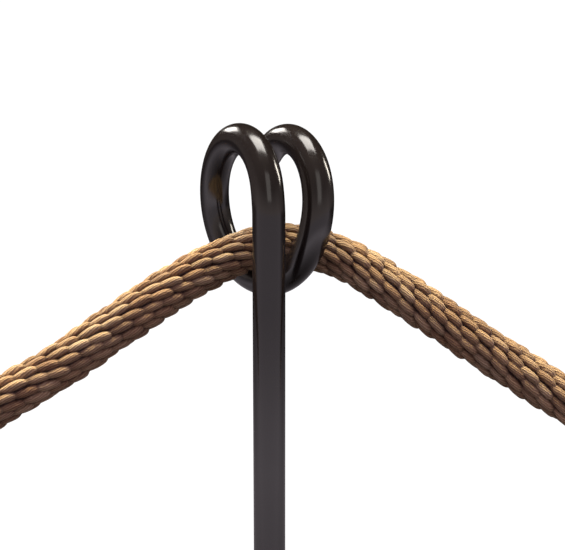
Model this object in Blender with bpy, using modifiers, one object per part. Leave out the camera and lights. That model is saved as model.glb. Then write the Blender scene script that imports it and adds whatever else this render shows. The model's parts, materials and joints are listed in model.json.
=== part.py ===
"""Rope barrier stanchion with a pigtail top.

A round bar stands on a weighted base and winds into an open coil at its top. A thick braided rope lies in
the coil and ends, left and right, in a metal cap with a swivelling snap hook.

Units are metres, +Z is up, and the origin is on the floor under the stem. The coil winds along +X, its loop
stands behind the stem in +Y, and the front of the post faces -Y.
"""

import math

import bmesh
import bpy
from mathutils import Matrix, Vector

# Clearances
GAP = 0.0003            # between pieces that touch
RUNNING_GAP = 0.0004    # radial, round a shank in its hole

# Post
BAR_RADIUS = 0.010
LOOP_RADIUS = 0.0465    # stem axis to the middle of the loop
LOOP_HEIGHT = 0.940     # height of the middle of the loop
COIL_PITCH = 0.0377
COIL_EASE = 0.425       # the first radians of the coil, over which it starts to advance
COIL_END = 1.39 * 2 * math.pi
COIL_STEP = math.radians(7.5)

# Base
BASE_RADIUS = 0.161
RING_LIP = 0.003
RING_WALL_TOP = 0.009
RING_WALL = 0.0027
COVER_THICKNESS = 0.0015
COVER_EDGE_RADIUS = 0.010
COVER_EDGE_HEIGHT = 0.012
COVER_SLOPE = math.radians(8)
HUB_RADIUS = 0.034
HUB_HEIGHT = 0.039
WEIGHT_INSET = 0.0026
SPIGOT_RADIUS = 0.008
SPIGOT_BOTTOM = 0.0046
NUT_POCKET_RADIUS = 0.025
NUT_POCKET_TOP = 0.022
NUT_ACROSS_FLATS = 0.024
NUT_BOTTOM = 0.0056
NUT_TOP = 0.0146
SPRING_WASHER_TOP = 0.0184
PLAIN_WASHER_TOP = 0.0217
COLLAR_RADIUS = 0.030
COLLAR_NECK_RADIUS = 0.017
COLLAR_TOP = 0.061
COLLAR_SCREW_HEIGHT = 0.052
COLLAR_SCREW_RADIUS = 0.003

# Rope
ROPE_RADIUS = 0.01375
ROPE_STEP = 0.012
ROPE_ROUTE = [
    (-0.190, 0.0840, 0.8090),
    (-0.167, 0.0788, 0.8200),
    (-0.144, 0.0740, 0.8313),
    (-0.121, 0.0696, 0.8430),
    (-0.099, 0.0655, 0.8555),
    (-0.077, 0.0615, 0.8690),
    (-0.055, 0.0577, 0.8825),
    (-0.032, 0.0543, 0.8955),
    (-0.008, 0.0512, 0.9075),
    (0.016, 0.0468, 0.9162),
    (0.038, 0.0383, 0.9182),
    (0.057, 0.0225, 0.9135),
    (0.072, 0.0040, 0.9045),
    (0.085, -0.0150, 0.8920),
    (0.099, -0.0330, 0.8785),
    (0.113, -0.0500, 0.8650),
    (0.128, -0.0665, 0.8510),
    (0.142, -0.0833, 0.8378),
    (0.156, -0.1005, 0.8247),
    (0.170, -0.1180, 0.8115),
    (0.184, -0.1355, 0.7983),
]

# Rope ends, measured along the rope's end from the mouth of the cap
ROPE_IN_CAP = 0.028
CAP_RADIUS = 0.017
CAP_BORE_RADIUS = 0.0143
CAP_BORE_DEPTH = 0.029
CAP_CHAMBER_RADIUS = 0.009
CAP_CHAMBER_DEPTH = 0.0355
CAP_LENGTH = 0.040
CAP_HOLE_RADIUS = 0.0044
CAP_SCREW_PLACE = 0.011
CAP_SCREW_RADIUS = 0.0018
STUD_RADIUS = 0.004
STUD_HEAD_RADIUS = 0.008
NECK_RADIUS = 0.0085
NECK_START = 0.0406
NECK_END = 0.060
SLOT_HALF_WIDTH = 0.0031
SLOT_FLOOR = 0.0535
HOOK_ROD_RADIUS = 0.004
HOOK_BACK = -0.017
HOOK_NOSE = 0.0122
HOOK_ARC_PLACE = 0.086
PIN_RADIUS = 0.0015
PIN_OFFSET = 0.0046
PIN_PLACE = 0.057
GATE_INNER = 0.0030
GATE_OUTER = 0.0077
GATE_HALF_WIDTH = 0.0026
GATE_TIP = 0.0875
KNUCKLE_RADIUS = 0.003
SPRING_WIRE_RADIUS = 0.00035
SPRING_RADIUS = 0.00215

BASE_SIDES = 48
ROUND_SIDES = 28
SMALL_SIDES = 16
FINE_MERGE = 0.00001
SMOOTH_ANGLE = math.radians(35)


# Scene helpers

def clear_scene():
    for obj in list(bpy.data.objects):
        bpy.data.objects.remove(obj, do_unlink=True)


def new_collection(name):
    found = bpy.data.collections.new(name)
    bpy.context.scene.collection.children.link(found)
    return found


def new_material(name, colour, roughness, metallic):
    made = bpy.data.materials.new(name)
    made.use_nodes = True
    shader = made.node_tree.nodes["Principled BSDF"]
    shader.inputs["Base Color"].default_value = (*colour, 1.0)
    shader.inputs["Roughness"].default_value = roughness
    shader.inputs["Metallic"].default_value = metallic
    return made


def add_object(name, data, collection, material=None, parent=None):
    obj = bpy.data.objects.new(name, data)
    collection.objects.link(obj)
    if material:
        data.materials.append(material)
    obj.parent = parent
    return obj


def add_empty(name, matrix, parent=None):
    empty = bpy.data.objects.new(name, None)
    PARTS.objects.link(empty)
    empty.empty_display_size = 0.01
    empty.parent = parent
    empty.matrix_local = matrix
    return empty


def smooth(obj):
    obj.data.shade_smooth()
    obj.data.set_sharp_from_angle(angle=SMOOTH_ANGLE)


def to_cutter(obj):
    obj.hide_render = True
    obj.display_type = "WIRE"
    return obj


def boolean(obj, other, operation="DIFFERENCE"):
    modifier = obj.modifiers.new(operation.lower(), "BOOLEAN")
    modifier.operation = operation
    modifier.solver = "EXACT"
    modifier.object = other


# Shapes

def turned(name, outline, material, collection=None, parent=None, closed=False, sides=ROUND_SIDES):
    """A solid turned round its own Z. The outline is (radius, height) points, down the outer side."""
    mesh = bpy.data.meshes.new(name)
    points = [(radius, 0.0, height) for radius, height in outline]
    edges = [(i, i + 1) for i in range(len(points) - 1)]
    if closed:
        edges.append((len(points) - 1, 0))
    mesh.from_pydata(points, edges, [])
    obj = add_object(name, mesh, collection or PARTS, material, parent)
    screw = obj.modifiers.new("turn", "SCREW")
    screw.steps = sides
    screw.render_steps = sides
    screw.use_merge_vertices = True
    screw.merge_threshold = FINE_MERGE
    screw.use_smooth_shade = True
    return obj


def arc(centre_radius, centre_height, radius, start, stop, count):
    """Points of a round stretch of a turned outline, angles in degrees from the +X side."""
    angles = [math.radians(start + (stop - start) * i / count) for i in range(count + 1)]
    return [
        (centre_radius + radius * math.cos(angle), centre_height + radius * math.sin(angle))
        for angle in angles
    ]


def cylinder(name, radius, length, collection, material=None, parent=None, sides=SMALL_SIDES):
    """A cylinder on its own Z, centred on its origin."""
    mesh = bpy.data.meshes.new(name)
    shape = bmesh.new()
    bmesh.ops.create_cone(
        shape, cap_ends=True, segments=sides, radius1=radius, radius2=radius, depth=length
    )
    shape.to_mesh(mesh)
    shape.free()
    obj = add_object(name, mesh, collection, material, parent)
    smooth(obj)
    return obj


def box(name, low, high, collection, material=None, parent=None):
    """A box between two corners, in the frame of its parent."""
    low = Vector(low)
    high = Vector(high)
    mesh = bpy.data.meshes.new(name)
    shape = bmesh.new()
    bmesh.ops.create_cube(shape, size=1.0)
    bmesh.ops.scale(shape, vec=high - low, verts=shape.verts)
    shape.to_mesh(mesh)
    shape.free()
    obj = add_object(name, mesh, collection, material, parent)
    obj.location = (low + high) / 2
    return obj


def wire(name, points, radius, material, collection=None, parent=None, sides=2, scales=None):
    """A round rod along a line of points. scales thins it point by point."""
    curve = bpy.data.curves.new(name, "CURVE")
    curve.dimensions = "3D"
    curve.bevel_depth = radius
    curve.bevel_resolution = sides
    curve.use_fill_caps = True
    spline = curve.splines.new("POLY")
    spline.points.add(len(points) - 1)
    for i, place in enumerate(points):
        spline.points[i].co = (*place, 1.0)
        spline.points[i].radius = scales[i] if scales else 1.0
    spline.use_smooth = True
    return add_object(name, curve, collection or PARTS, material, parent)


def as_mesh(obj):
    """The same object as a closed mesh, so that it can be cut and joined."""
    bpy.context.view_layer.update()
    graph = bpy.context.evaluated_depsgraph_get()
    mesh = bpy.data.meshes.new_from_object(obj.evaluated_get(graph))
    shape = bmesh.new()
    shape.from_mesh(mesh)
    bmesh.ops.remove_doubles(shape, verts=shape.verts, dist=FINE_MERGE)
    bmesh.ops.recalc_face_normals(shape, faces=shape.faces)
    shape.to_mesh(mesh)
    shape.free()
    name = obj.name
    solid = bpy.data.objects.new(name, mesh)
    obj.users_collection[0].objects.link(solid)
    solid.parent = obj.parent
    solid.matrix_local = obj.matrix_local
    bpy.data.objects.remove(obj, do_unlink=True)
    solid.name = name
    smooth(solid)
    return solid


def smooth_line(route, step):
    """Points about step apart on a smooth curve through the route's points."""
    route = [Vector(place) for place in route]
    first = route[0] * 2 - route[1]
    last = route[-1] * 2 - route[-2]
    ends = [first, *route, last]
    line = [route[0]]
    for before, start, stop, after in zip(ends, ends[1:], ends[2:], ends[3:]):
        count = max(1, round((stop - start).length / step))
        for i in range(1, count + 1):
            t = i / count
            line.append(
                0.5 * (
                    2 * start
                    + (stop - before) * t
                    + (2 * before - 5 * start + 4 * stop - after) * t ** 2
                    + (3 * start - before - 3 * stop + after) * t ** 3
                )
            )
    return line


# Post and base

def coil_point(angle):
    """The middle of the bar, angle radians along the coil from the top of the straight stem."""
    share = min(angle / COIL_EASE, 1.0)
    advance = COIL_EASE * (share ** 3 - share ** 4 / 2) + max(angle - COIL_EASE, 0.0)
    return Vector((
        COIL_PITCH * advance / (2 * math.pi),
        LOOP_RADIUS * (1 - math.cos(angle)),
        LOOP_HEIGHT + LOOP_RADIUS * math.sin(angle),
    ))


def make_post():
    """Stem and coil as one bent bar, with a spigot at its foot and a domed tip."""
    shoulder = HUB_HEIGHT - COVER_THICKNESS
    narrow = SPIGOT_RADIUS / BAR_RADIUS
    stem = [
        (SPIGOT_BOTTOM, narrow * 0.85),
        (SPIGOT_BOTTOM + 0.0012, narrow),
        (shoulder, narrow),
        (shoulder + 0.0005, 1.0),
    ]
    points = [Vector((0, 0, height)) for height, _ in stem]
    scales = [scale for _, scale in stem]

    tip_angle = BAR_RADIUS / LOOP_RADIUS
    steps = round((COIL_END - tip_angle) / COIL_STEP)
    for i in range(steps + 1):
        points.append(coil_point((COIL_END - tip_angle) * i / steps))
        scales.append(1.0)
    for share in (0.3, 0.55, 0.76, 0.9, 0.985):
        points.append(coil_point(COIL_END - tip_angle * (1 - share)))
        scales.append(math.sqrt(1 - share ** 2))
    wire("post", points, BAR_RADIUS, DARK_BRONZE, sides=4, scales=scales)


def dome_outline(inset, hub_height):
    """The base's top, from its hub to its rim, drawn inset below the cover's outer face."""
    edge = arc(
        BASE_RADIUS - 0.0005 - COVER_EDGE_RADIUS, COVER_EDGE_HEIGHT, COVER_EDGE_RADIUS - inset,
        90 - math.degrees(COVER_SLOPE), 0, 4,
    )
    cone_radius, cone_height = edge[0]
    foot = HUB_RADIUS + 0.004
    foot_height = cone_height + math.tan(COVER_SLOPE) * (cone_radius - foot)
    return [(HUB_RADIUS, hub_height), (foot, foot_height), *edge]


def make_base():
    turned(
        "floor_ring",
        [
            (BASE_RADIUS, RING_WALL_TOP), (BASE_RADIUS, 0.001), (BASE_RADIUS - 0.001, 0.0),
            (BASE_RADIUS - 0.014, 0.0), (BASE_RADIUS - 0.015, 0.001), (BASE_RADIUS - 0.015, RING_LIP),
            (BASE_RADIUS - RING_WALL, RING_LIP), (BASE_RADIUS - RING_WALL, RING_WALL_TOP),
        ],
        RUBBER, closed=True, sides=BASE_SIDES,
    )

    bolt_hole = SPIGOT_RADIUS + RUNNING_GAP
    underside = RING_LIP + GAP
    hub = HUB_HEIGHT - COVER_THICKNESS - GAP
    rim = dome_outline(WEIGHT_INSET, hub)
    turned(
        "base_weight",
        [
            (bolt_hole, hub), *rim, (rim[-1][0], underside), (NUT_POCKET_RADIUS, underside),
            (NUT_POCKET_RADIUS, NUT_POCKET_TOP), (bolt_hole, NUT_POCKET_TOP),
        ],
        CAST_IRON, closed=True, sides=BASE_SIDES,
    )

    bar_hole = BAR_RADIUS + 0.0006
    outer = dome_outline(0.0, HUB_HEIGHT)
    lower_edge = RING_WALL_TOP + GAP
    cover = turned(
        "base_cover", [(bar_hole, HUB_HEIGHT), *outer, (outer[-1][0], lower_edge)],
        DARK_BRONZE, sides=BASE_SIDES,
    )
    shell = cover.modifiers.new("sheet", "SOLIDIFY")
    shell.thickness = COVER_THICKNESS
    shell.offset = -1.0
    shell.use_even_offset = True

    foot = HUB_HEIGHT + GAP
    collar_bore = BAR_RADIUS + GAP
    collar = turned(
        "post_collar",
        [
            (collar_bore, COLLAR_TOP), (0.0135, COLLAR_TOP),
            *arc(0.0135, COLLAR_TOP - 0.0035, 0.0035, 90, 0, 3)[1:],
            (COLLAR_NECK_RADIUS, foot + 0.010), (0.0185, foot + 0.0065), (0.0225, foot + 0.005),
            (COLLAR_RADIUS - 0.002, foot + 0.005), (COLLAR_RADIUS, foot + 0.003), (COLLAR_RADIUS, foot),
            (collar_bore, foot),
        ],
        DARK_BRONZE, closed=True,
    )
    screw_hole = to_cutter(cylinder("collar_screw_hole", COLLAR_SCREW_RADIUS + RUNNING_GAP, 0.020, CUTTERS))
    screw_hole.location = (0, COLLAR_NECK_RADIUS, COLLAR_SCREW_HEIGHT)
    screw_hole.rotation_euler = (math.pi / 2, 0, 0)
    boolean(collar, screw_hole)

    length = COLLAR_NECK_RADIUS - collar_bore
    screw = cylinder("collar_screw", COLLAR_SCREW_RADIUS, length, PARTS, STEEL)
    screw.location = (0, collar_bore + GAP / 2 + length / 2, COLLAR_SCREW_HEIGHT)
    screw.rotation_euler = (-math.pi / 2, 0, 0)
    socket = to_cutter(cylinder("collar_screw_socket", 0.00173, 0.005, CUTTERS, parent=screw, sides=6))
    socket.location = (0, 0, length / 2)
    boolean(screw, socket)

    washer_top = PLAIN_WASHER_TOP
    washer_bottom = SPRING_WASHER_TOP + GAP
    turned(
        "plain_washer",
        [(0.017, washer_top), (0.017, washer_bottom), (bolt_hole, washer_bottom), (bolt_hole, washer_top)],
        STEEL, closed=True,
    )
    split = turned(
        "spring_washer",
        [
            (0.0133, SPRING_WASHER_TOP), (0.0133, NUT_TOP + GAP), (bolt_hole + 0.0002, NUT_TOP + GAP),
            (bolt_hole + 0.0002, SPRING_WASHER_TOP),
        ],
        STEEL, closed=True,
    )
    boolean(split, to_cutter(box("washer_split", (0.005, -0.001, 0.010), (0.020, 0.001, 0.022), CUTTERS)))

    nut_height = NUT_TOP - NUT_BOTTOM
    nut = cylinder("post_nut", NUT_ACROSS_FLATS / math.sqrt(3), nut_height, PARTS, STEEL, sides=6)
    nut.location = (0, 0, NUT_BOTTOM + nut_height / 2)
    thread = to_cutter(cylinder("nut_bore", bolt_hole, nut_height * 3, CUTTERS))
    thread.location = nut.location
    boolean(nut, thread)


# Rope and its ends

def make_rope():
    """One rope through the coil. Its ends are inside the caps."""
    return wire("rope", smooth_line(ROPE_ROUTE, ROPE_STEP), ROPE_RADIUS, ROPE_FIBRE, sides=4)


def end_frame(end, inner):
    """The frame of a rope end: +Z outwards along the rope, +X as near up as it can be, origin at the cap."""
    outward = (end - inner).normalized()
    up = (Vector((0, 0, 1)) - outward * outward.z).normalized()
    side = outward.cross(up)
    mouth = end - outward * ROPE_IN_CAP
    frame = Matrix((up, side, outward)).transposed().to_4x4()
    frame.translation = mouth
    return frame


def make_cap(side, frame):
    cap = turned(
        side + "_rope_cap",
        [
            (CAP_HOLE_RADIUS, CAP_LENGTH), (0.0095, CAP_LENGTH),
            *arc(0.0095, CAP_LENGTH - 0.0065, 0.0065, 90, 0, 3)[1:],
            (CAP_RADIUS, CAP_LENGTH - 0.008), (CAP_RADIUS, 0.021), (CAP_RADIUS - 0.0008, 0.020),
            (CAP_RADIUS - 0.0008, 0.018), (CAP_RADIUS, 0.017), (CAP_RADIUS, 0.001),
            (CAP_RADIUS - 0.001, 0.0), (CAP_BORE_RADIUS, 0.0), (CAP_BORE_RADIUS, CAP_BORE_DEPTH),
            (CAP_CHAMBER_RADIUS, CAP_BORE_DEPTH), (CAP_CHAMBER_RADIUS, CAP_CHAMBER_DEPTH),
            (CAP_HOLE_RADIUS, CAP_CHAMBER_DEPTH),
        ],
        BRASS, parent=frame, closed=True,
    )
    inner = ROPE_RADIUS + GAP
    length = CAP_RADIUS - inner
    for number, direction in ((1, 1), (2, -1)):
        hole = to_cutter(
            cylinder(f"{side}_cap_hole_{number}", CAP_SCREW_RADIUS + GAP, 0.010, CUTTERS, parent=frame)
        )
        hole.location = (0, direction * CAP_RADIUS, CAP_SCREW_PLACE)
        hole.rotation_euler = (math.pi / 2, 0, 0)
        boolean(cap, hole)
        screw = cylinder(f"{side}_cap_screw_{number}", CAP_SCREW_RADIUS, length, PARTS, STEEL, frame)
        screw.location = (0, direction * (inner + length / 2), CAP_SCREW_PLACE)
        screw.rotation_euler = (-direction * math.pi / 2, 0, 0)
        slot = box(
            f"{side}_cap_slot_{number}", (-0.003, -0.0003, length / 2 - 0.0008), (0.003, 0.0003, length),
            CUTTERS, parent=screw,
        )
        boolean(screw, to_cutter(slot))


def make_swivel(side, frame):
    """The headed stud that turns in the cap's end and carries the hook, and the washer under its head."""
    head = CAP_CHAMBER_DEPTH - 0.0016
    turned(
        side + "_swivel_stud",
        [
            (0, SLOT_FLOOR - 0.0042), (STUD_RADIUS, SLOT_FLOOR - 0.0042), (STUD_RADIUS, head),
            (STUD_HEAD_RADIUS, head), (STUD_HEAD_RADIUS, head - 0.0027), (0, head - 0.0027),
        ],
        BRASS, parent=frame,
    )
    washer_top = CAP_CHAMBER_DEPTH - GAP
    turned(
        side + "_swivel_washer",
        [
            (0.0083, washer_top), (0.0083, head + GAP), (CAP_HOLE_RADIUS, head + GAP),
            (CAP_HOLE_RADIUS, washer_top),
        ],
        STEEL, parent=frame, closed=True,
    )


def hook_line():
    """The middle of the hook's rod, from inside the neck round to the nose, in the hook's own plane."""
    middle = (HOOK_BACK + HOOK_NOSE) / 2
    radius = (HOOK_NOSE - HOOK_BACK) / 2
    root = [
        (-0.0045, 0.0540), (-0.0045, 0.0600), (-0.0072, 0.0655), (-0.0125, 0.0695), (-0.0160, 0.0745),
        (HOOK_BACK, 0.0800), (HOOK_BACK, HOOK_ARC_PLACE),
    ]
    line = smooth_line([(offset, 0, place) for offset, place in root], 0.003)
    for i in range(1, 13):
        angle = math.pi * (1 - i / 12)
        across, along = radius * math.cos(angle), radius * math.sin(angle)
        line.append(Vector((middle + across, 0, HOOK_ARC_PLACE + along)))
    line.append(Vector((HOOK_NOSE, 0, 0.0825)))
    line.append(Vector((HOOK_NOSE, 0, 0.0812)))
    return line


def make_hook(side, frame):
    """Neck and bent rod as one casting, bored for the stud and slotted for the gate."""
    body = turned(
        side + "_hook_body",
        [
            (0, NECK_END), (0.0065, NECK_END), (NECK_RADIUS, NECK_END - 0.002), (NECK_RADIUS, 0.046),
            (0.0075, 0.045), (0.0075, 0.0435), (0.0082, 0.0425), (0.0082, 0.0412), (0.0076, NECK_START),
            (0, NECK_START),
        ],
        BRASS, parent=frame,
    )
    line = hook_line()
    rod = wire(
        side + "_hook_rod", line, HOOK_ROD_RADIUS, None, CUTTERS, frame, 3,
        [1.0] * (len(line) - 1) + [0.75],
    )
    boolean(body, to_cutter(as_mesh(rod)), "UNION")

    bore_depth = SLOT_FLOOR - 0.0036 - NECK_START
    bore = cylinder(side + "_stud_bore", CAP_HOLE_RADIUS, bore_depth + 0.002, CUTTERS, parent=frame)
    to_cutter(bore)
    bore.location = (0, 0, NECK_START - 0.001 + bore_depth / 2)
    boolean(body, bore)
    slot = box(
        side + "_gate_slot", (-0.001, -SLOT_HALF_WIDTH, SLOT_FLOOR), (0.012, SLOT_HALF_WIDTH, 0.064),
        CUTTERS, parent=frame,
    )
    boolean(body, to_cutter(slot))
    pin_hole = to_cutter(cylinder(side + "_pin_hole", PIN_RADIUS + 0.00025, 0.024, CUTTERS, parent=frame))
    pin_hole.location = (PIN_OFFSET, 0, PIN_PLACE)
    pin_hole.rotation_euler = (math.pi / 2, 0, 0)
    boolean(body, pin_hole)

    pin = cylinder(side + "_gate_pin", PIN_RADIUS, 0.0136, PARTS, STEEL, frame)
    pin.location = (PIN_OFFSET, 0, PIN_PLACE)
    pin.rotation_euler = (math.pi / 2, 0, 0)


def make_gate(side, axis):
    """The gate, drawn from its pin: a knuckle at one side of the slot, and the bar that closes the hook."""
    low = GATE_INNER - PIN_OFFSET
    high = GATE_OUTER - PIN_OFFSET
    reach = GATE_TIP - PIN_PLACE
    bar_start = 0.0042
    gate = box(
        side + "_gate", (low, -GATE_HALF_WIDTH, bar_start), (high, GATE_HALF_WIDTH, reach),
        PARTS, BRASS, axis,
    )
    edge = gate.modifiers.new("edges", "BEVEL")
    edge.width = 0.0007
    edge.segments = 2
    arm_low = -0.0028
    arm_high = -0.0001
    arm = box(
        side + "_gate_arm", (low + 0.0002, arm_low + 0.0003, 0.0),
        (high - 0.0004, arm_high, bar_start + 0.003), CUTTERS, parent=axis,
    )
    boolean(gate, to_cutter(arm), "UNION")
    knuckle = to_cutter(
        cylinder(side + "_gate_knuckle", KNUCKLE_RADIUS, arm_high - arm_low, CUTTERS, parent=axis)
    )
    knuckle.location = (0, (arm_low + arm_high) / 2, 0)
    knuckle.rotation_euler = (math.pi / 2, 0, 0)
    boolean(gate, knuckle, "UNION")
    hole = to_cutter(cylinder(side + "_gate_hole", PIN_RADIUS + 0.00025, 0.02, CUTTERS, parent=axis))
    hole.rotation_euler = (math.pi / 2, 0, 0)
    boolean(gate, hole)


def make_spring(side, axis):
    """A torsion spring round the gate's pin: one leg across the slot, the turns, one leg along the gate."""
    start = 0.0026
    turns = 2.75
    pitch = 0.00076
    steps = round(turns * 12)
    points = [Vector((-0.0033, start, SPRING_RADIUS)), Vector((-0.0012, start, SPRING_RADIUS))]
    for i in range(steps + 1):
        angle = math.pi / 2 - 2 * math.pi * turns * i / steps
        across, along = SPRING_RADIUS * math.cos(angle), SPRING_RADIUS * math.sin(angle)
        points.append(Vector((across, start - pitch * turns * i / steps, along)))
    last = points[-1]
    points += [last + Vector((0, 0, 0.002)), last + Vector((0, 0, 0.009))]
    wire(side + "_gate_spring", points, SPRING_WIRE_RADIUS, STEEL, parent=axis)


def make_rope_end(side, end, inner):
    swivel_axis = add_empty(side + "_swivel_axis", end_frame(Vector(end), Vector(inner)))
    make_cap(side, swivel_axis)
    make_swivel(side, swivel_axis)
    make_hook(side, swivel_axis)
    gate_axis = add_empty(
        side + "_gate_axis", Matrix.Translation((PIN_OFFSET, 0, PIN_PLACE)), swivel_axis
    )
    make_gate(side, gate_axis)
    make_spring(side, gate_axis)


clear_scene()
PARTS = new_collection("rope_barrier_stanchion")
CUTTERS = new_collection("cutters")
DARK_BRONZE = new_material("dark_bronze_coating", (0.035, 0.027, 0.023), 0.3, 0.3)
CAST_IRON = new_material("cast_iron", (0.11, 0.11, 0.115), 0.75, 0.9)
STEEL = new_material("zinc_plated_steel", (0.55, 0.55, 0.56), 0.35, 1.0)
RUBBER = new_material("rubber", (0.02, 0.02, 0.02), 0.8, 0.0)
BRASS = new_material("aged_brass", (0.42, 0.29, 0.12), 0.35, 1.0)
ROPE_FIBRE = new_material("rope_fibre", (0.50, 0.33, 0.17), 0.9, 0.0)

make_post()
make_base()
make_rope()
make_rope_end("left", ROPE_ROUTE[0], ROPE_ROUTE[1])
make_rope_end("right", ROPE_ROUTE[-1], ROPE_ROUTE[-2])
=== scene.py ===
"""Looks of the rope barrier stanchion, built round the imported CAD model.

Units are metres, in the CAD model's frame: +Z is up, the floor is Z = 0 and the stem stands on the origin.
"""

import json
import math

import bmesh
import bpy
import numpy as np
from mathutils import Matrix, Vector

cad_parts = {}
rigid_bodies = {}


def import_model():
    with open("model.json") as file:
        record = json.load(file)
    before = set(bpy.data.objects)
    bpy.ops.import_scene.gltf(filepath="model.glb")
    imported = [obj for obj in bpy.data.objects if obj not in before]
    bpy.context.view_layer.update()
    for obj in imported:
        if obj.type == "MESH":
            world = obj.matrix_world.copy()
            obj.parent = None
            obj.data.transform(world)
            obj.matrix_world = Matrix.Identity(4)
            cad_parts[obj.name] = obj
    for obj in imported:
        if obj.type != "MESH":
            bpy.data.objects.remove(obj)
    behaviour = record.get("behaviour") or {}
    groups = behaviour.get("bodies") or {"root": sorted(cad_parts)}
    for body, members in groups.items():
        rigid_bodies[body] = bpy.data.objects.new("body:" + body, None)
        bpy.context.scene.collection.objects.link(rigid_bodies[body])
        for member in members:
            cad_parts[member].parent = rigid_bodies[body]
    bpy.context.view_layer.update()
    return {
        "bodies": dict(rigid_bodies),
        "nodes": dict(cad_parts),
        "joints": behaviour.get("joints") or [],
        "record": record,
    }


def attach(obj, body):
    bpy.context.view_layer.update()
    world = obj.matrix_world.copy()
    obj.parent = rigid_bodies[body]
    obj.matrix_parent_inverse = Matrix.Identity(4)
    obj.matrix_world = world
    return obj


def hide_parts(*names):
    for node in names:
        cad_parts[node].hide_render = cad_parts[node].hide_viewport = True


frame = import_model()
NODES = frame["nodes"]
SEED = 20
SIDES = ("left", "right")

# Sizes repeated from part.py
BAR_RADIUS = 0.010
LOOP_RADIUS = 0.0465
LOOP_HEIGHT = 0.940
COIL_PITCH = 0.0377
COIL_EASE = 0.425
COIL_END = 1.39 * 2 * math.pi
ROPE_RADIUS = 0.01375
# the rope's middle line, from a fit of its outlines that was then rounded and nudged
ROPE_ROUTE = [
    (-0.190, 0.0840, 0.8090),
    (-0.167, 0.0788, 0.8200),
    (-0.144, 0.0740, 0.8313),
    (-0.121, 0.0696, 0.8430),
    (-0.099, 0.0655, 0.8555),
    (-0.077, 0.0615, 0.8690),
    (-0.055, 0.0577, 0.8825),
    (-0.032, 0.0543, 0.8955),
    (-0.008, 0.0512, 0.9075),
    (0.016, 0.0468, 0.9162),
    (0.038, 0.0383, 0.9182),
    (0.057, 0.0225, 0.9135),
    (0.072, 0.0040, 0.9045),
    (0.085, -0.0150, 0.8920),
    (0.099, -0.0330, 0.8785),
    (0.113, -0.0500, 0.8650),
    (0.128, -0.0665, 0.8510),
    (0.142, -0.0833, 0.8378),
    (0.156, -0.1005, 0.8247),
    (0.170, -0.1180, 0.8115),
    (0.184, -0.1355, 0.7983),
]
ROPE_IN_CAP = 0.028
BASE_RADIUS = 0.161
COVER_SLOPE = math.radians(8)
COVER_THICKNESS = 0.0015
HUB_RADIUS = 0.034
HUB_HEIGHT = 0.039
COLLAR_RADIUS = 0.030
COLLAR_NECK_RADIUS = 0.017
COLLAR_TOP = 0.061
CAP_RADIUS = 0.017
CAP_LENGTH = 0.040
CAP_HOLE_RADIUS = 0.0044
NECK_START = 0.0406
NECK_END = 0.060
NECK_RADIUS = 0.0085
SLOT_FLOOR = 0.0535
HOOK_BACK = -0.017
HOOK_NOSE = 0.0122
HOOK_ARC_PLACE = 0.086
HOOK_ROD_RADIUS = 0.004
PIN_OFFSET = 0.0046
PIN_PLACE = 0.057
GAP = 0.0003

# Camera, at the photograph's viewing angle, from a fit of the coil's outline
CAMERA_PLACE = (-0.2970, -0.4450, 0.9830)
CAMERA_AZIMUTH = math.radians(34.6)   # from +Y towards +X
CAMERA_PITCH = math.radians(-8.32)
CAMERA_LENS = 56.93                   # millimetres, on a sensor 36 wide
FORWARD = (math.sin(CAMERA_AZIMUTH), math.cos(CAMERA_AZIMUTH), 0.0)   # level, away from the camera

# Braid: stitches stand on a slanted lattice round the rope
STITCH_ROWS = 22          # rows of stitches round the rope
STITCH_SHIFT = 9          # a row starts this many STITCH_ROWS-ths of a pitch before the row above it
STITCH_PITCH = 0.0225     # between stitches in a row
STITCH_TILT = math.radians(14.5)
STITCH_HALF_LENGTH = 0.0095
STITCH_HALF_WIDTH = 0.0035
STITCH_HEIGHT = 0.0042
STITCH_CREST = 0.01415    # from the rope's middle to the top of a stitch
STITCH_START = 0.0007     # shift of all stitches along the rope
STITCH_START_ANGLE = 0.095
STITCH_DRIFT = 0.0013     # most that one stitch stands off its place along the rope
STITCH_SWAY = 0.0005      # the same round the rope
STITCH_LEAN = 0.09        # most that its tilt is off, in radians
STITCH_SWELL = 0.16       # most that its height is off, as a share
CHAINS = STITCH_ROWS - STITCH_SHIFT
ROPE_SIDES = 11 * CHAINS
ROPE_RING = 0.0007        # between rings of points
ROPE_LINE_STEP = 0.0015
ROPE_HIDDEN = 0.024       # length of each end inside its cap
ROPE_FADE = 0.006         # over which the braid is held in at a cap
ROPE_HELD_RADIUS = 0.0139
PRESS_DEPTH = 0.0013      # how far the rope's weight presses it down onto the coil
PRESS_PLACE = 0.012
PRESS_REACH = 0.035
YARN_WIDTH = 0.00125      # of the yarns in a stitch


# Camera, lights and stage

COIL_MIDDLE = (0.02, 0.03, 0.94)


def add_camera():
    """The scene's camera, where the photograph was taken from."""
    data = bpy.data.cameras.new("camera")
    data.lens = CAMERA_LENS
    data.sensor_width = 36.0
    data.clip_start = 0.01
    camera = bpy.data.objects.new("camera", data)
    bpy.context.scene.collection.objects.link(camera)
    camera.location = CAMERA_PLACE
    level = math.cos(CAMERA_PITCH)
    looking = Vector((level * FORWARD[0], level * FORWARD[1], math.sin(CAMERA_PITCH)))
    camera.rotation_euler = looking.to_track_quat("-Z", "Y").to_euler()
    bpy.context.scene.camera = camera


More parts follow.
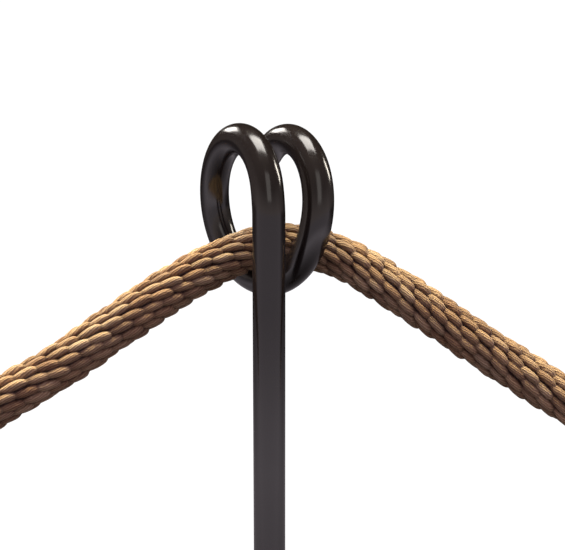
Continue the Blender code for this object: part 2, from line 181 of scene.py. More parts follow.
def add_light(name, place, size, radiance, colour, diffuse=True, glossy=True):
    """A soft box that faces the coil and that only the named kinds of ray see.

    size is (width, height) and radiance is how bright its face looks.
    """
    data = bpy.data.lights.new(name, "AREA")
    data.shape = "RECTANGLE"
    data.size, data.size_y = size
    data.energy = radiance * math.pi * size[0] * size[1]
    data.color = colour
    light = bpy.data.objects.new(name, data)
    bpy.context.scene.collection.objects.link(light)
    light.location = place
    facing = Vector(COIL_MIDDLE) - Vector(place)
    light.rotation_euler = facing.to_track_quat("-Z", "Y").to_euler()
    light.visible_camera = False
    light.visible_diffuse = diffuse
    light.visible_glossy = glossy


class Tree:
    """A stage node tree, with one call for each kind of node."""

    def __init__(self, tree):
        self.tree = tree
        tree.nodes.clear()

    def add(self, kind, **inputs):
        node = self.tree.nodes.new(kind)
        for name, value in inputs.items():
            self.join(value, node.inputs[name.replace("_", " ")])
        return node

    def join(self, value, socket):
        if hasattr(value, "links"):
            self.tree.links.new(value, socket)
        else:
            socket.default_value = value

    def toward(self, vector):
        """How far a vector points away from the camera."""
        node = self.add("ShaderNodeVectorMath")
        node.operation = "DOT_PRODUCT"
        self.join(vector, node.inputs[0])
        node.inputs[1].default_value = FORWARD
        return node.outputs["Value"]

    def spread(self, value, low, high, to_low, to_high):
        node = self.add(
            "ShaderNodeMapRange", Value=value, From_Min=low, From_Max=high, To_Min=to_low, To_Max=to_high
        )
        return node.outputs["Result"]

    def math(self, operation, first, second):
        node = self.add("ShaderNodeMath")
        node.operation = operation
        self.join(first, node.inputs[0])
        self.join(second, node.inputs[1])
        return node.outputs[0]

    def choose(self, share, other, chosen):
        node = self.add("ShaderNodeMixShader")
        self.join(share, node.inputs[0])
        self.join(other.outputs[0], node.inputs[1])
        self.join(chosen.outputs[0], node.inputs[2])
        return node


def add_world():
    """White for the camera, a dim room for soft light, and a room that is lightest low down behind the
    camera for reflections.
    """
    world = bpy.data.worlds.new("studio")
    bpy.context.scene.world = world
    world.use_nodes = True
    t = Tree(world.node_tree)
    path = t.add("ShaderNodeLightPath")
    direction = t.add("ShaderNodeTexCoord").outputs["Generated"]
    height = t.add("ShaderNodeSeparateXYZ", Vector=direction).outputs["Z"]
    paper = t.add("ShaderNodeBackground", Color=(1, 1, 1, 1), Strength=1.05)
    room = t.add("ShaderNodeBackground", Color=(0.80, 0.66, 1.0, 1), Strength=0.70)
    toward = t.toward(direction)
    low_down = t.spread(height, 0.0, 0.5, 0.90, 0.25)
    front = t.math("MULTIPLY", low_down, t.spread(toward, -0.3, 0.35, 1.0, 0.30))
    front = t.math("MULTIPLY", front, t.spread(toward, 0.45, 0.80, 1.0, 0.15))
    mirror = t.add(
        "ShaderNodeBackground", Color=(1.0, 0.84, 0.79, 1),
        Strength=t.math("ADD", front, t.spread(toward, 0.92, 0.99, 0.0, 0.05)),
    )
    light = t.choose(path.outputs["Is Diffuse Ray"], mirror, room)
    light = t.choose(path.outputs["Is Camera Ray"], light, paper)
    out = t.add("ShaderNodeOutputWorld")
    t.join(light.outputs[0], out.inputs["Surface"])


def add_floor():
    """A pale floor for the camera that throws little light back up, with a painted contact shadow: its glow
    is dimmed by ambient occlusion near the base. In reflections it is lightest about two metres off, on the
    camera's side.
    """
    mesh = bpy.data.meshes.new("floor")
    half = 40.0
    mesh.from_pydata(
        [(-half, -half, 0), (half, -half, 0), (half, half, 0), (-half, half, 0)], [], [(0, 1, 2, 3)]
    )
    floor = bpy.data.objects.new("floor", mesh)
    bpy.context.scene.collection.objects.link(floor)
    material = bpy.data.materials.new("pale_floor")
    material.use_nodes = True
    t = Tree(material.node_tree)
    path = t.add("ShaderNodeLightPath")
    place = t.add("ShaderNodeTexCoord").outputs["Object"]
    far = t.add("ShaderNodeVectorMath")
    far.operation = "LENGTH"
    t.join(place, far.inputs[0])
    seen = t.add("ShaderNodeAddShader")
    paper = t.add("ShaderNodeBsdfDiffuse", Color=(0.04, 0.04, 0.04, 1))
    # painted shadow: the floor's glow for the camera is dimmed where ambient occlusion finds the base close
    # by
    shade = t.add("ShaderNodeAmbientOcclusion", Distance=0.22)
    shade.samples = 16
    glow = t.add("ShaderNodeEmission", Strength=t.spread(shade.outputs["AO"], 0.35, 0.98, 0.50, 1.04))
    t.join(paper.outputs[0], seen.inputs[0])
    t.join(glow.outputs[0], seen.inputs[1])
    dull = t.add("ShaderNodeBsdfDiffuse", Color=(0.020, 0.020, 0.026, 1))
    far = far.outputs["Value"]
    front = t.math("MULTIPLY", t.spread(far, 0.3, 2.0, 0.25, 1.50), t.spread(far, 2.0, 3.8, 1.0, 0.54))
    front = t.math("MULTIPLY", front, t.spread(t.toward(place), -1.0, 1.0, 1.0, 0.35))
    front = t.math("MULTIPLY", front, t.spread(t.toward(place), 1.0, 4.0, 1.0, 0.12))
    mirror = t.add("ShaderNodeEmission", Color=(0.97, 0.87, 0.95, 1), Strength=front)
    light = t.choose(path.outputs["Is Diffuse Ray"], mirror, dull)
    light = t.choose(path.outputs["Is Camera Ray"], light, seen)
    out = t.add("ShaderNodeOutputMaterial")
    t.join(light.outputs[0], out.inputs["Surface"])
    mesh.materials.append(material)


add_camera()
add_world()
add_floor()
bpy.context.scene.view_settings.view_transform = "Standard"
add_light("overhead_box", (0.09, 0.22, 2.45), (1.05, 0.70), 12.0, (1.0, 0.95, 0.89))
add_light("back_window", (-0.10, 1.75, 1.95), (0.50, 0.62), 11.0, (1.0, 0.95, 0.90))
add_light("side_strip", (1.60, -0.22, 1.80), (0.24, 0.60), 22.0, (1.0, 0.92, 0.80), diffuse=False)
add_light("front_sheen", (-0.65, -1.40, 2.05), (0.9, 1.3), 1.2, (1.0, 0.95, 0.90), diffuse=False)
# soft light that the polished bar doesn't mirror
add_light("key", (-0.04, 0.52, 2.58), (0.9, 0.9), 24.0, (1.0, 0.91, 0.50), glossy=False)
add_light("left_rim", (-0.80, 1.20, 2.20), (0.6, 0.6), 38.0, (0.92, 0.98, 1.12), glossy=False)


# Mesh helpers

def smooth_line(route, step):
    """Points about step apart on a smooth curve through the route's points, as in part.py."""
    route = [Vector(place) for place in route]
    first = route[0] * 2 - route[1]
    last = route[-1] * 2 - route[-2]
    ends = [first, *route, last]
    line = [route[0]]
    for before, start, stop, after in zip(ends, ends[1:], ends[2:], ends[3:]):
        count = max(1, round((stop - start).length / step))
        for i in range(1, count + 1):
            t = i / count
            line.append(
                0.5 * (
                    2 * start
                    + (stop - before) * t
                    + (2 * before - 5 * start + 4 * stop - after) * t ** 2
                    + (3 * start - before - 3 * stop + after) * t ** 3
                )
            )
    return np.array([list(place) for place in line])


def unit(vectors):
    """The vectors, each made one long."""
    return vectors / np.linalg.norm(vectors, axis=-1, keepdims=True)


def along(line):
    """Distance along a line at each of its points."""
    steps = np.linalg.norm(np.diff(line, axis=0), axis=1)
    return np.concatenate([[0.0], np.cumsum(steps)])


def resampled(line, places):
    """Points of a line at distances along it."""
    length = along(line)
    return np.stack([np.interp(places, length, line[:, axis]) for axis in range(3)], axis=1)


def frames(line, up=(0, 0, 1)):
    """Tangent, up and side vectors along a line, turning as little as they can."""
    tangent = unit(np.gradient(line, axis=0))
    first = np.array(up, float)
    ups = np.zeros_like(tangent)
    first = unit(first - tangent[0] * (first @ tangent[0]))
    ups[0] = first
    for i in range(1, len(line)):
        carried = ups[i - 1] - tangent[i] * (ups[i - 1] @ tangent[i])
        ups[i] = carried / np.linalg.norm(carried)
    return tangent, ups, np.cross(tangent, ups)


def grid_mesh(name, rings, caps=True):
    """A smooth mesh over a grid of points, rings by sides, closed round its sides."""
    count, sides = rings.shape[:2]
    index = np.arange(count * sides).reshape(count, sides)
    beside = np.roll(index, -1, axis=1)
    faces = np.stack([index[:-1], beside[:-1], beside[1:], index[1:]], axis=-1).reshape(-1, 4).tolist()
    points = rings.reshape(-1, 3)
    if caps:
        start, stop = len(points), len(points) + 1
        points = np.vstack([points, rings[0].mean(0), rings[-1].mean(0)])
        faces += [[start, int(b), int(a)] for a, b in zip(index[0], beside[0])]
        faces += [[stop, int(a), int(b)] for a, b in zip(index[-1], beside[-1])]
    mesh = bpy.data.meshes.new(name)
    mesh.from_pydata(points.tolist(), [], faces)
    mesh.update()
    mesh.shade_smooth()
    obj = bpy.data.objects.new(name, mesh)
    bpy.context.scene.collection.objects.link(obj)
    return obj


def tube_rings(line, radii, sides, up):
    """Rings of points round a line, one radius a ring."""
    _, ups, across = frames(line, up)
    angle = 2 * math.pi * np.arange(sides) / sides
    out = ups[:, None] * np.cos(angle)[None, :, None] + across[:, None] * np.sin(angle)[None, :, None]
    return line[:, None] + out * np.asarray(radii, float)[:, None, None]


# Rope

def coil_points(angle):
    """The middle of the bar along the coil, as in part.py."""
    share = np.minimum(angle / COIL_EASE, 1.0)
    advance = COIL_EASE * (share ** 3 - share ** 4 / 2) + np.maximum(angle - COIL_EASE, 0.0)
    return np.stack([
        COIL_PITCH * advance / (2 * math.pi),
        LOOP_RADIUS * (1 - np.cos(angle)),
        LOOP_HEIGHT + LOOP_RADIUS * np.sin(angle),
    ], axis=-1)


def stitch_relief(place, turn, random):
    """How far the braid's surface stands from the rope's middle, with each point's place on its stitch.

    place is the distance along the rope and turn the angle round it. Gives the radius, the distances along
    and across the nearest stitch, and two numbers that belong to that stitch.
    """
    row_angle = 2 * math.pi / STITCH_ROWS
    row_shift = STITCH_PITCH * STITCH_SHIFT / STITCH_ROWS
    best = np.full(place.shape, -1.0)
    keep = [np.zeros(place.shape) for _ in range(4)]
    nearest_row = np.round(turn / row_angle).astype(int)
    for row_step in range(-3, 4):
        row = nearest_row + row_step
        nearest = np.round((place + row * row_shift) / STITCH_PITCH).astype(int)
        for step in (-1, 0, 1):
            number = nearest + step
            key = (number - STITCH_SHIFT * (row // STITCH_ROWS)) % random.shape[0], row % STITCH_ROWS
            own = random[key]
            forward = place - (number * STITCH_PITCH - row * row_shift) - STITCH_DRIFT * own[..., 0]
            round_it = ROPE_RADIUS * (turn - row * row_angle) - STITCH_SWAY * own[..., 1]
            tilt = STITCH_TILT + STITCH_LEAN * own[..., 2]
            u = forward * np.cos(tilt) + round_it * np.sin(tilt)
            v = round_it * np.cos(tilt) - forward * np.sin(tilt)
            t = np.clip(u / STITCH_HALF_LENGTH, -1, 1)
            # a stitch has a round head that lies on the next one's thin tail, both a little bent over
            v = v - 0.28 * STITCH_HALF_WIDTH * t ** 3
            head = np.maximum(1 - np.abs(t) ** 3.4, 0.0)
            tail = np.maximum(1 - t ** 2, 0.0)
            wide = STITCH_HALF_WIDTH * np.where(t > 0, 0.10 + 0.90 * np.sqrt(head), 0.28 + 0.72 * tail)
            crown = np.where(t > 0, head, tail ** 0.8) * (1 + 0.45 * t)
            inside = crown * np.maximum(1 - (v / wide) ** 2, 0)
            high = STITCH_HEIGHT * (1 + STITCH_SWELL * own[..., 3]) * np.sqrt(inside)
            better = high > best
            best = np.where(better, high, best)
            for i, value in enumerate((u, v, own[..., 4], own[..., 5])):
                keep[i] = np.where(better, value, keep[i])
    return STITCH_CREST - STITCH_HEIGHT + best, keep


def settle(points):
    """Presses the rope's points out of the bar that they lie on."""
    bar = coil_points(np.linspace(0, COIL_END, 700))
    skin = BAR_RADIUS + 0.0001
    flat = points.reshape(-1, 3)
    near_coil = np.where(np.abs(flat[:, 0] - 0.03) < 0.06)[0]
    for some in np.array_split(near_coil, 40):  # in small lots, to save memory
        apart = flat[some][:, None] - bar[None]
        far = np.linalg.norm(apart, axis=2)
        which = far.argmin(1)
        least = far[np.arange(len(some)), which]
        inside = least < skin
        if inside.any():
            pick = some[inside]
            away = apart[inside, which[inside]] / least[inside][:, None]
            flat[pick] = bar[which[inside]] + away * skin
    return flat.reshape(points.shape)


def make_rope():
    """The braided rope, with its middle line and its length."""
    line = smooth_line(ROPE_ROUTE, ROPE_LINE_STEP)
    line[:, 2] -= PRESS_DEPTH * np.exp(-((line[:, 0] - PRESS_PLACE) / PRESS_REACH) ** 2)
    total = along(line)[-1]
    shown_end = total - ROPE_HIDDEN
    places = np.concatenate([
        np.linspace(0, ROPE_HIDDEN, 9)[:-1],
        np.linspace(ROPE_HIDDEN, shown_end, round((total - 2 * ROPE_HIDDEN) / ROPE_RING)),
        np.linspace(shown_end, total, 9)[1:],
    ])
    middle = resampled(line, places)
    for _ in range(6):  # rounds off the corners of the line
        middle[1:-1] = (middle[:-2] + 2 * middle[1:-1] + middle[2:]) / 4
    _, ups, across = frames(middle)
    # the columns of points follow the chains of stitches, so that the grooves between them stay sharp
    chain_slope = (2 * math.pi / STITCH_ROWS) / (STITCH_PITCH * CHAINS / STITCH_ROWS)
    turn = 2 * math.pi * np.arange(ROPE_SIDES)[None] / ROPE_SIDES + chain_slope * places[:, None]
    place_on = np.broadcast_to(places[:, None] - STITCH_START, turn.shape)
    random = np.random.RandomState(SEED).uniform(-1, 1, (64, STITCH_ROWS, 6))
    radius, (u, v, tone, hue) = stitch_relief(place_on, turn - STITCH_START_ANGLE, random)
    in_cap = np.clip((ROPE_HIDDEN - np.minimum(places, total - places)) / ROPE_FADE, 0, 1)[:, None]
    radius = np.minimum(radius, ROPE_HELD_RADIUS) * in_cap + radius * (1 - in_cap)
    out = ups[:, None] * np.cos(turn)[..., None] + across[:, None] * np.sin(turn)[..., None]
    rings = settle(middle[:, None] + out * radius[..., None])
    rope = grid_mesh("braided_rope", rings)
    # stitch_rise is how high each point stands on its stitch; the rope's material uses it to paint shade into
    # the crevices
    rise = (radius - (STITCH_CREST - STITCH_HEIGHT)) / STITCH_HEIGHT
    for name, values in (
        ("stitch_along", u), ("stitch_across", v), ("stitch_tone", tone), ("stitch_hue", hue),
        ("stitch_rise", rise),
    ):
        attribute = rope.data.attributes.new(name, "FLOAT", "POINT")
        attribute.data.foreach_set("value", np.append(values.ravel(), [0, 0]).astype(np.float32))
    return rope, line, total


# Post

def make_post():
    """The bent bar: spigot, shoulder, stem, coil and domed tip."""
    shoulder = 0.0375
    foot = [(0.0046, 0.0068), (0.0058, 0.008), (shoulder, 0.008), (shoulder + 0.0005, BAR_RADIUS)]
    stem = np.linspace(0.05, LOOP_HEIGHT, 60)[:-1]
    heights = np.concatenate([[height for height, _ in foot], stem])
    radii = np.concatenate([[radius for _, radius in foot], np.full(len(stem), BAR_RADIUS)])
    points = np.stack([np.zeros_like(heights), np.zeros_like(heights), heights], axis=1)
    tip = BAR_RADIUS / LOOP_RADIUS
    coil = coil_points(np.linspace(0, COIL_END - tip, 340))
    dome = np.sin(np.linspace(0, math.pi / 2, 14))[1:]
    end = coil_points(COIL_END - tip + tip * dome)
    points = np.vstack([points, coil, end])
    radii = np.concatenate([
        radii, np.full(len(coil), BAR_RADIUS), BAR_RADIUS * np.sqrt(np.maximum(1 - dome ** 2, 0.0004))
    ])
    return grid_mesh("post_bar", tube_rings(points, radii, 72, up=(0, -1, 0)))


# Turned and bent pieces, drawn as in part.py but smoother

def arc(centre_radius, centre_height, radius, start, stop, count=16):
    """Points of a round stretch of a turned outline, angles in degrees from the +X side."""
    angles = np.radians(np.linspace(start, stop, count + 1))
    return [
        (centre_radius + radius * math.cos(angle), centre_height + radius * math.sin(angle))
        for angle in angles
    ]


def rounded(outline, radius, closed):
    """The outline with its corners eased."""
    points = [np.array(point) for point in outline]
    result = []
    for i, corner in enumerate(points):
        if not closed and i in (0, len(points) - 1):
            result.append(corner)
            continue
        back = points[i - 1] - corner
        ahead = points[(i + 1) % len(points)] - corner
        reach = min(radius, 0.45 * np.linalg.norm(back), 0.45 * np.linalg.norm(ahead))
        start = corner + unit(back) * reach
        stop = corner + unit(ahead) * reach
        for t in np.linspace(0, 1, 5):
            result.append((1 - t) ** 2 * start + 2 * t * (1 - t) * corner + t ** 2 * stop)
    return result


def tidied(obj):
    """Joins doubled points, turns every face outwards and keeps only real edges sharp."""
    shape = bmesh.new()
    shape.from_mesh(obj.data)
    bmesh.ops.remove_doubles(shape, verts=shape.verts, dist=0.000001)
    bmesh.ops.recalc_face_normals(shape, faces=shape.faces)
    shape.to_mesh(obj.data)
    shape.free()
    obj.data.shade_smooth()
    obj.data.set_sharp_from_angle(angle=math.radians(32))
    return obj


def turned(name, outline, ease, sides=96, place=None, closed=True):
    """A solid turned round its own Z. The outline is (radius, height) points."""
    outline = np.array(rounded(outline, ease, closed))
    if closed:
        outline = np.vstack([outline, outline[:1]])
    angle = 2 * math.pi * np.arange(sides) / sides
    rings = np.stack([
        outline[:, :1] * np.cos(angle), outline[:, :1] * np.sin(angle),
        np.broadcast_to(outline[:, 1:], (len(outline), sides)),
    ], axis=-1)
    obj = tidied(grid_mesh(name, rings, caps=False))
    if place is not None:
        obj.data.transform(place)
    return obj


def cut(obj, tool, operation="DIFFERENCE"):
    """Applies a boolean with a tool that is then removed."""
    bpy.context.view_layer.update()
    step = obj.modifiers.new("cut", "BOOLEAN")
    step.object = tool
    step.operation = operation
    step.solver = "EXACT"
    graph = bpy.context.evaluated_depsgraph_get()
    mesh = bpy.data.meshes.new_from_object(obj.evaluated_get(graph))
    obj.modifiers.clear()
    obj.data = mesh
    bpy.data.objects.remove(tool, do_unlink=True)
    return tidied(obj)


def rod(start, stop, radius, sides=48):
    """A straight cutter between two points."""
    line = np.linspace(start, stop, 3)
    up = (1, 0, 0) if abs(line[-1][0] - line[0][0]) < 1e-9 else (0, 0, 1)
    return tidied(grid_mesh("cutter", tube_rings(line, np.full(3, radius), sides, up)))


def block(low, high):
    """A box-shaped cutter."""
    (x0, y0, z0), (x1, y1, z1) = low, high
    square = [(x0, y0), (x1, y0), (x1, y1), (x0, y1)]
    return tidied(grid_mesh("cutter", np.array([[(x, y, z) for x, y in square] for z in (z0, z1)])))


def dome_outline(inset, hub_height):
    """The base's top, from its hub to its rim, drawn inset below the cover's outer face."""
    edge = arc(BASE_RADIUS - 0.0105, 0.012, 0.010 - inset, 90 - math.degrees(COVER_SLOPE), 0)
    cone_radius, cone_height = edge[0]
    foot = HUB_RADIUS + 0.004
    foot_height = cone_height + math.tan(COVER_SLOPE) * (cone_radius - foot)
    return [(HUB_RADIUS, hub_height), (foot, foot_height), *edge]


def make_cover():
    """The spun steel cover, open underneath."""
    hole = BAR_RADIUS + 0.0006
    lower_edge = 0.009 + GAP
    outer = dome_outline(0.0, HUB_HEIGHT)
    inner = dome_outline(COVER_THICKNESS, HUB_HEIGHT - COVER_THICKNESS)
    return turned("base_cover_shell", [
        (hole, HUB_HEIGHT), *outer, (outer[-1][0], lower_edge), (inner[-1][0], lower_edge),
        *inner[::-1], (hole, HUB_HEIGHT - COVER_THICKNESS),
    ], sides=192, ease=0.0012)


def make_collar():
    """The turned collar, with its set screw's hole."""
    foot = HUB_HEIGHT + GAP
    bore = BAR_RADIUS + GAP
    collar = turned("post_collar_turned", [
        (bore, COLLAR_TOP), (0.0135, COLLAR_TOP),
        *arc(0.0135, COLLAR_TOP - 0.0035, 0.0035, 90, 0, 8)[1:],
        (COLLAR_NECK_RADIUS, foot + 0.010), (0.0185, foot + 0.0065), (0.0225, foot + 0.005),
        (COLLAR_RADIUS - 0.002, foot + 0.005), (COLLAR_RADIUS, foot + 0.003), (COLLAR_RADIUS, foot),
        (bore, foot),
    ], ease=0.0011)
    return cut(collar, rod((0, 0.008, 0.052), (0, 0.030, 0.052), 0.0034))


def make_floor_ring():
    """The rubber ring, with two fine grooves round its wall and three under its foot."""
    wall = [(BASE_RADIUS, 0.009)]
    for height in (0.0067, 0.0040):
        wall += [
            (BASE_RADIUS, height + 0.0004), (BASE_RADIUS - 0.0005, height), (BASE_RADIUS, height - 0.0004)
        ]
    foot = [(BASE_RADIUS, 0.001), (BASE_RADIUS - 0.001, 0.0)]
    for inset in (0.0045, 0.0075, 0.0105):
        foot += [
            (BASE_RADIUS - inset + 0.0005, 0.0), (BASE_RADIUS - inset, 0.0006),
            (BASE_RADIUS - inset - 0.0005, 0.0),
        ]
    foot += [(BASE_RADIUS - 0.014, 0.0), (BASE_RADIUS - 0.015, 0.001)]
    return turned("rubber_floor_ring", [
        *wall, *foot, (BASE_RADIUS - 0.015, 0.003), (BASE_RADIUS - 0.0027, 0.003),
        (BASE_RADIUS - 0.0027, 0.009),
    ], sides=192, ease=0.0003)


def end_frame(end, inner):
    """The frame of a rope end: +Z outwards along the rope, +X as near up as it can be, as in part.py."""
    end, inner = Vector(end), Vector(inner)
    outward = (end - inner).normalized()
    up = (Vector((0, 0, 1)) - outward * outward.z).normalized()
    frame = Matrix((up, outward.cross(up), outward)).transposed().to_4x4()
    frame.translation = end - outward * ROPE_IN_CAP
    return frame


def make_cap(side, place):
    """A turned rope cap with a rolled lip at its mouth and a bead between two grooves."""
    lip = arc(CAP_RADIUS - 0.0011, 0.0014, 0.0011, -90, 90, 10)
    cap = turned(f"{side}_cap_turned", [
        (CAP_HOLE_RADIUS, CAP_LENGTH), (0.0095, CAP_LENGTH),
        *arc(0.0095, CAP_LENGTH - 0.0065, 0.0065, 90, 0, 10)[1:],
        (CAP_RADIUS, CAP_LENGTH - 0.008), (CAP_RADIUS, 0.0222), (CAP_RADIUS - 0.0008, 0.0214),
        (CAP_RADIUS - 0.0008, 0.0206), *arc(CAP_RADIUS - 0.0010, 0.0190, 0.0010, 80, -80, 10),
        (CAP_RADIUS - 0.0008, 0.0174), (CAP_RADIUS - 0.0008, 0.0166), (CAP_RADIUS, 0.0158),
        (CAP_RADIUS, 0.0042), (CAP_RADIUS - 0.0006, 0.0036), (CAP_RADIUS - 0.0006, 0.0031), *lip[::-1],
        (0.0144, 0.0003), (0.0143, 0.029), (0.009, 0.029), (0.009, 0.0355), (CAP_HOLE_RADIUS, 0.0355),
    ], place=place, ease=0.0004)
    for direction in (1, -1):
        hole = rod((0, direction * 0.010, 0.011), (0, direction * 0.020, 0.011), 0.0021, 32)
        hole.data.transform(place)
        cap = cut(cap, hole)
    return cap


def hook_rod():
    """The hook's bent rod, from inside the neck round to the nose, in the hook's own frame."""
    middle = (HOOK_BACK + HOOK_NOSE) / 2
    radius = (HOOK_NOSE - HOOK_BACK) / 2
    root = [
        (-0.0045, 0, 0.0540), (-0.0045, 0, 0.0600), (-0.0072, 0, 0.0655), (-0.0125, 0, 0.0695),
        (-0.0160, 0, 0.0745), (HOOK_BACK, 0, 0.0800), (HOOK_BACK, 0, HOOK_ARC_PLACE),
    ]
    angle = np.linspace(math.pi, 0, 41)[1:]
    bend = np.stack([
        middle + radius * np.cos(angle), 0 * angle, HOOK_ARC_PLACE + radius * np.sin(angle)
    ], axis=1)
    drop = np.array([(HOOK_NOSE, 0, height) for height in (0.0848, 0.0836, 0.0825, 0.0818, 0.0814, 0.0812)])
    line = np.vstack([smooth_line(root, 0.0010), bend, drop])
    radii = np.full(len(line), HOOK_ROD_RADIUS)
    radii[-3:] = (0.0038, 0.0034, 0.0029)
    return tidied(grid_mesh("rod", tube_rings(line, radii, 40, up=(0, 1, 0))))


def make_hook(side, place):
    """Neck and bent rod as one casting, bored for the stud and slotted for the gate."""
    body = turned(f"{side}_hook_casting", [
        (0, NECK_END), (0.0065, NECK_END), (NECK_RADIUS, NECK_END - 0.002), (NECK_RADIUS, 0.046),
        (0.0075, 0.045), (0.0075, 0.0435), (0.0082, 0.0425), (0.0082, 0.0412), (0.0076, NECK_START),
        (0, NECK_START),
    ], sides=72, closed=False, ease=0.0006)
    body = cut(body, hook_rod(), "UNION")
    body = cut(body, rod((0, 0, NECK_START - 0.002), (0, 0, SLOT_FLOOR - 0.0036), CAP_HOLE_RADIUS))
    body = cut(body, block((-0.001, -0.0031, SLOT_FLOOR), (0.012, 0.0031, 0.064)))
    body = cut(body, rod((PIN_OFFSET, -0.012, PIN_PLACE), (PIN_OFFSET, 0.012, PIN_PLACE), 0.00175, 32))
    body.data.transform(place)
    return body


# Materials

class Nodes:
    """A material's nodes, with one call for each kind."""

    def __init__(self, name):
        self.material = bpy.data.materials.new(name)
        self.material.use_nodes = True
        self.tree = self.material.node_tree
        self.shader = self.tree.nodes["Principled BSDF"]

    def set(self, **values):
        for key, value in values.items():
            socket = self.shader.inputs[key.replace("_", " ")]
            socket.default_value = (*value, 1.0) if isinstance(value, tuple) and len(value) == 3 else value

    def link(self, source, target):
        if isinstance(source, (int, float, tuple)):
            target.default_value = source
        else:
            self.tree.links.new(source, target)

    def shade(self, socket, source):
        self.tree.links.new(source, self.shader.inputs[socket])

    def place(self):
        return self.tree.nodes.new("ShaderNodeTexCoord").outputs["Object"]

    def stretched(self, vector, scale, turn):
        node = self.tree.nodes.new("ShaderNodeMapping")
        self.link(vector, node.inputs["Vector"])
        node.inputs["Scale"].default_value = scale
        node.inputs["Rotation"].default_value = turn
        return node.outputs[0]

    def noise(self, vector, scale, detail, rough=0.55):
        node = self.tree.nodes.new("ShaderNodeTexNoise")
        self.link(vector, node.inputs["Vector"])
        node.inputs["Scale"].default_value = scale
        node.inputs["Detail"].default_value = detail
        node.inputs["Roughness"].default_value = rough
        return node.outputs["Fac"]

    def attribute(self, name):
        node = self.tree.nodes.new("ShaderNodeAttribute")
        node.attribute_name = name
        return node.outputs["Fac"]

    def math(self, operation, *values):
        node = self.tree.nodes.new("ShaderNodeMath")
        node.operation = operation
        for value, socket in zip(values, node.inputs):
            self.link(value, socket)
        return node.outputs[0]

    def spread(self, value, low, high, to_low=0.0, to_high=1.0):
        node = self.tree.nodes.new("ShaderNodeMapRange")
        self.link(value, node.inputs["Value"])
        for socket, number in zip(("From Min", "From Max", "To Min", "To Max"), (low, high, to_low, to_high)):
            node.inputs[socket].default_value = number
        return node.outputs["Result"]

    def ramp(self, value, *stops):
        node = self.tree.nodes.new("ShaderNodeValToRGB")
        self.link(value, node.inputs[0])
        ramp = node.color_ramp
        while len(ramp.elements) < len(stops):
            ramp.elements.new(0.5)
        for element, (place, colour) in zip(ramp.elements, stops):
            element.position = place
            element.color = (*colour, 1.0)
        return node.outputs[0]

    def mix(self, share, first, second, blend="MIX"):
        node = self.tree.nodes.new("ShaderNodeMix")
        node.data_type = "RGBA"
        node.blend_type = blend
        for value, socket in zip((share, first, second), (node.inputs[0], node.inputs[6], node.inputs[7])):
            if isinstance(value, tuple):
                value = (*value, 1.0)
            self.link(value, socket)
        return node.outputs[2]

    def bump(self, height, distance, strength, normal=None):
        node = self.tree.nodes.new("ShaderNodeBump")
        self.link(height, node.inputs["Height"])
        node.inputs["Distance"].default_value = distance
        node.inputs["Strength"].default_value = strength
        if normal is not None:
            self.link(normal, node.inputs["Normal"])
        return node.outputs[0]


def rope_material():
    """Tan fibre: yarns in each stitch, stitches of different tone, and painted shade that darkens the
    crevices between them.
    """
    n = Nodes("braided_fibre")
    u, v = n.attribute("stitch_along"), n.attribute("stitch_across")
    tone, hue, rise = n.attribute("stitch_tone"), n.attribute("stitch_hue"), n.attribute("stitch_rise")
    place = n.place()
    # yarns lie a little aslant in each stitch
    slant = n.math("ADD", v, n.math("MULTIPLY", u, 0.22))
    wander = n.math("MULTIPLY", n.noise(place, 300, 2), 0.0016)
    phase = n.math("MULTIPLY", n.math("ADD", slant, wander), 2 * math.pi / YARN_WIDTH)
    yarn = n.spread(n.math("SINE", phase), -1, 1)
    fibre = n.noise(place, 1700, 3, 0.6)
    patches = n.noise(place, 70, 3)
    shade = n.math("ADD", n.math("MULTIPLY", tone, 0.20), n.math("MULTIPLY", yarn, 0.44))
    for unevenness, share in ((fibre, 0.50), (patches, 0.70)):
        shade = n.math("ADD", shade, n.math("MULTIPLY", n.math("SUBTRACT", unevenness, 0.5), share))
    shade = n.math("ADD", shade, 0.31)
    colour = n.ramp(
        shade, (0.0, (0.125, 0.060, 0.027)), (0.35, (0.268, 0.163, 0.079)), (0.7, (0.405, 0.276, 0.138)),
        (1.0, (0.600, 0.455, 0.265)),
    )
    redder = n.mix(1.0, colour, (1.0, 0.86, 0.72), "MULTIPLY")
    colour = n.mix(n.spread(hue, -1, 1, 0.0, 0.7), colour, redder)
    # painted shade: the colour goes to near-black brown where a point lies low between stitches, standing in
    # for the shade in the crevices
    colour = n.mix(n.spread(rise, 0.22, 0.86), (0.060, 0.018, 0.005), colour)
    n.shade("Base Color", colour)
    n.shade("Roughness", n.spread(fibre, 0.3, 0.7, 0.55, 0.78))
    n.set(Specular_IOR_Level=0.3, Sheen_Weight=0.15, Sheen_Roughness=0.5, Sheen_Tint=(1.0, 0.86, 0.66))
    first = n.bump(yarn, 0.00030, 0.9)
    n.shade("Normal", n.bump(fibre, 0.00020, 0.9, first))
    return n.material


def bronze_material(name, wave):
    """Satin dark bronze paint. wave is how far it is from perfectly even."""
    n = Nodes(name)
    place = n.place()
    cloud = n.noise(place, 9, 5)
    grain = n.noise(place, 1400, 2, 0.5)
    colour = n.ramp(cloud, (0.30, (0.0060, 0.0042, 0.0038)), (0.70, (0.0095, 0.0068, 0.0062)))
    colour = n.mix(n.spread(grain, 0.60, 0.75, 0.0, 0.20), colour, (0.030, 0.024, 0.020))
    n.shade("Base Color", colour)
    n.shade("Roughness", n.spread(n.noise(place, 35, 4), 0.3, 0.7, 0.145, 0.20))
    n.set(Specular_IOR_Level=0.52)
    n.shade("Normal", n.bump(grain, 0.000006, 0.3, n.bump(n.noise(place, 28, 1), wave, 0.25)))
    return n.material


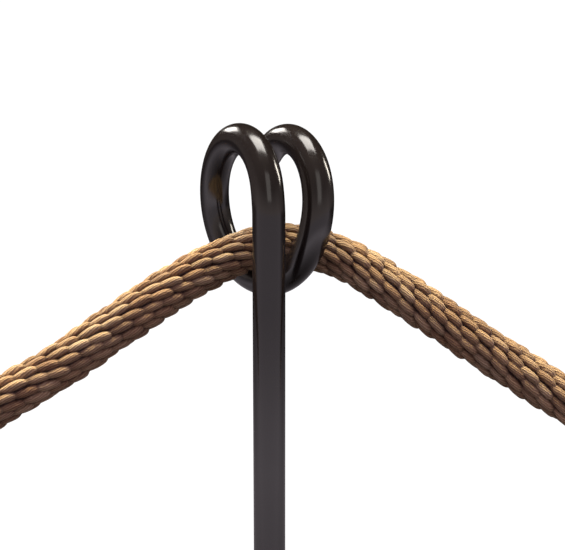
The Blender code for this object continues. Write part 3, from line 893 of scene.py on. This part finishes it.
def metal_material(name, low, high, roughness, metallic, grain_scale=700, bump=0.00003):
    """An even finish between two colours, for metal and for rubber."""
    n = Nodes(name)
    place = n.place()
    cloud = n.noise(place, 60, 5)
    grain = n.noise(place, grain_scale, 3)
    colour = n.ramp(cloud, (0.3, low), (0.7, high))
    n.shade("Base Color", n.mix(n.spread(grain, 0.3, 0.7, 0.0, 0.35), colour, low))
    n.shade("Roughness", n.spread(n.noise(place, 180, 4), 0.3, 0.7, roughness - 0.07, roughness + 0.09))
    n.set(Metallic=metallic)
    n.shade("Normal", n.bump(grain, bump, 0.6))
    return n.material


def brass_material():
    """Lacquered brass, buffed, with a little brown tarnish."""
    n = Nodes("aged_brass_finish")
    place = n.place()
    tarnish = n.noise(place, 110, 6, 0.6)
    buffed = n.noise(n.stretched(place, (160, 160, 2200), (0.4, 0.9, 0.2)), 1.0, 3)
    colour = n.ramp(n.noise(place, 22, 4), (0.3, (0.50, 0.315, 0.115)), (0.7, (0.64, 0.430, 0.175)))
    colour = n.mix(n.spread(tarnish, 0.56, 0.74, 0.0, 0.55), colour, (0.20, 0.105, 0.042))
    n.shade("Base Color", n.mix(n.spread(buffed, 0.35, 0.65, 0.0, 0.22), colour, (0.74, 0.53, 0.25)))
    rough = n.math("ADD", n.spread(buffed, 0.3, 0.7, 0.16, 0.25), n.spread(tarnish, 0.56, 0.74, 0.0, 0.16))
    n.shade("Roughness", rough)
    n.set(Metallic=1.0)
    n.shade("Normal", n.bump(buffed, 0.000004, 0.4))
    return n.material


BRONZE = bronze_material("dark_bronze_finish", 0.00012)
BRONZE_PLATE = bronze_material("dark_bronze_plate_finish", 0.00004)
FIBRE = rope_material()
BRASS = brass_material()
STEEL = metal_material("steel_finish", (0.33, 0.33, 0.34), (0.52, 0.52, 0.53), 0.32, 1.0)
IRON = metal_material(
    "cast_iron_finish", (0.030, 0.029, 0.028), (0.060, 0.058, 0.056), 0.62, 0.3, grain_scale=420, bump=0.0002
)
RUBBER = metal_material(
    "rubber_finish", (0.014, 0.014, 0.014), (0.028, 0.028, 0.028), 0.72, 0.0, grain_scale=900, bump=0.00005
)


def finish_with(obj, material, body):
    """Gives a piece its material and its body."""
    obj.data.materials.clear()
    obj.data.materials.append(material)
    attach(obj, body)
    return obj


# Build

post = make_post()
finish_with(post, BRONZE, "stanchion")
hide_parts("post")

rope, rope_line, rope_length = make_rope()
finish_with(rope, FIBRE, "stanchion")
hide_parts("rope")

for piece, material, slot, node in (
    (make_cover(), BRONZE_PLATE, "dark_bronze", "base_cover"),
    (make_collar(), BRONZE_PLATE, "dark_bronze", "post_collar"),
    (make_floor_ring(), RUBBER, "rubber", "floor_ring"),
):
    finish_with(piece, material, "stanchion")
    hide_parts(node)

on_rope = []
for side, end, inner in (("left", ROPE_ROUTE[0], ROPE_ROUTE[1]), ("right", ROPE_ROUTE[-1], ROPE_ROUTE[-2])):
    frame_of_end = end_frame(end, inner)
    cap = finish_with(make_cap(side, frame_of_end), BRASS, "stanchion")
    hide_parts(f"{side}_rope_cap")
    hook = finish_with(make_hook(side, frame_of_end), BRASS, f"{side}_hook")
    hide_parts(f"{side}_hook_body")
    on_rope += [cap, hook]

BY_NODE = {
    "base_weight": IRON, "collar_screw": STEEL, "plain_washer": STEEL, "spring_washer": STEEL,
    "post_nut": STEEL,
}
for side in SIDES:
    for part in ("gate", "swivel_stud"):
        BY_NODE[f"{side}_{part}"] = BRASS
    for part in ("cap_screw_1", "cap_screw_2", "swivel_washer", "gate_pin", "gate_spring"):
        BY_NODE[f"{side}_{part}"] = STEEL
for name, material in BY_NODE.items():
    for cad_slot in NODES[name].material_slots:
        cad_slot.material = material

on_rope += [NODES[name] for name in BY_NODE if name.split("_")[0] in SIDES]
